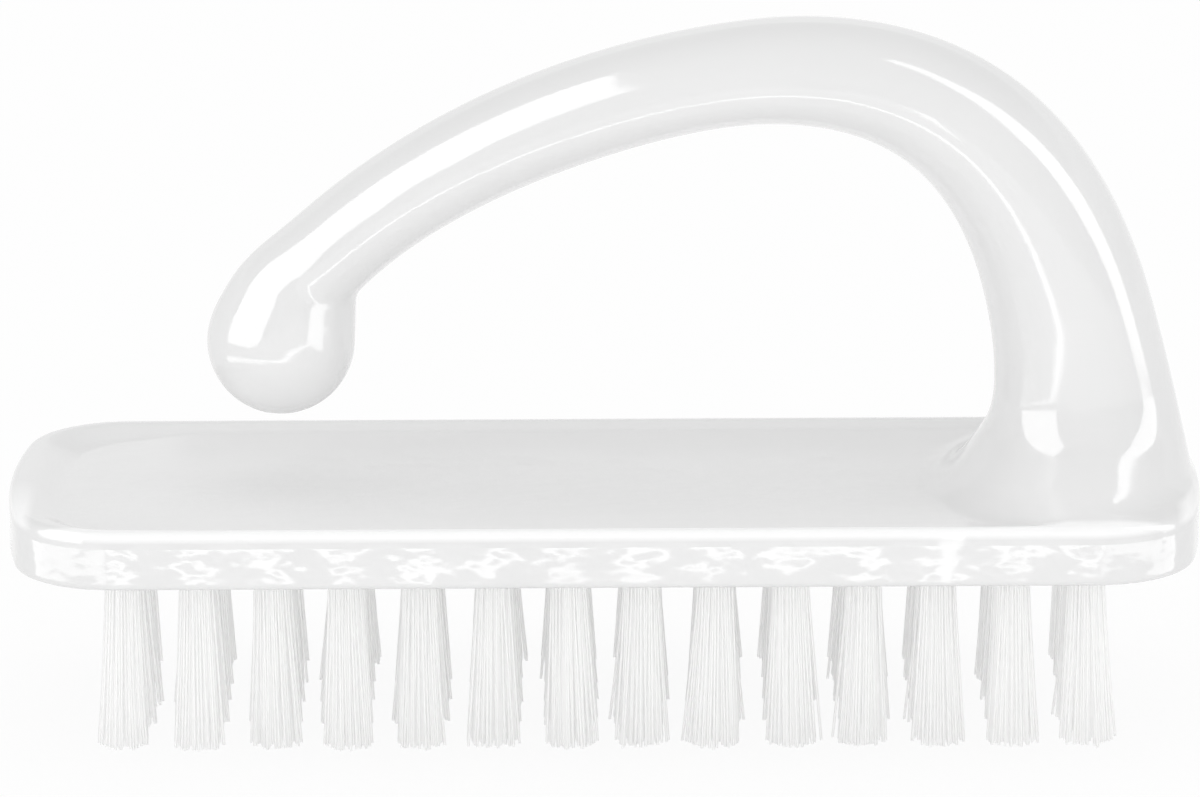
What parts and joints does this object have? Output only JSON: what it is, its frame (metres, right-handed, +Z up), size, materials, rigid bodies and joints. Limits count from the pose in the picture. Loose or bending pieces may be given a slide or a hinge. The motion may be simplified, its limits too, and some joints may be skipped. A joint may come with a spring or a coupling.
{
  "type": "nail brush",
  "caption": "Glossy white moulded nail brush: a dished oblong plate with an arched hook handle that ends in a ball over it, and rows of trimmed nylon tufts set into its underside.",
  "frame": {"origin": "under the middle of the plate, at the height of the trimmed bristle tips that the brush stands on", "axes": "+X along the plate towards the root of the handle, +Y across the plate, +Z up from the bristle tips to the handle"},
  "size_m": [0.09, 0.033, 0.0531],
  "materials": {
    "body_plastic": "smooth injection-moulded polypropylene, high gloss",
    "bristle_nylon": "translucent white nylon filament, satin",
    "anchor_wire": "flat-rolled stainless steel anchor wire"
  },
  "bodies": {
    "root": {"brush_body": "body_plastic", "tuft_column_01": "bristle_nylon", "tuft_column_02": "bristle_nylon", "tuft_column_03": "bristle_nylon", "tuft_column_04": "bristle_nylon", "tuft_column_05": "bristle_nylon", "tuft_column_06": "bristle_nylon", "tuft_column_07": "bristle_nylon", "tuft_column_08": "bristle_nylon", "tuft_column_09": "bristle_nylon", "tuft_column_10": "bristle_nylon", "tuft_column_11": "bristle_nylon", "tuft_column_12": "bristle_nylon", "tuft_column_13": "bristle_nylon", "tuft_column_14": "bristle_nylon", "anchor_column_01": "anchor_wire", "anchor_column_02": "anchor_wire", "anchor_column_03": "anchor_wire", "anchor_column_04": "anchor_wire", "anchor_column_05": "anchor_wire", "anchor_column_06": "anchor_wire", "anchor_column_07": "anchor_wire", "anchor_column_08": "anchor_wire", "anchor_column_09": "anchor_wire", "anchor_column_10": "anchor_wire", "anchor_column_11": "anchor_wire", "anchor_column_12": "anchor_wire", "anchor_column_13": "anchor_wire", "anchor_column_14": "anchor_wire"}
  },
  "joints": []
}
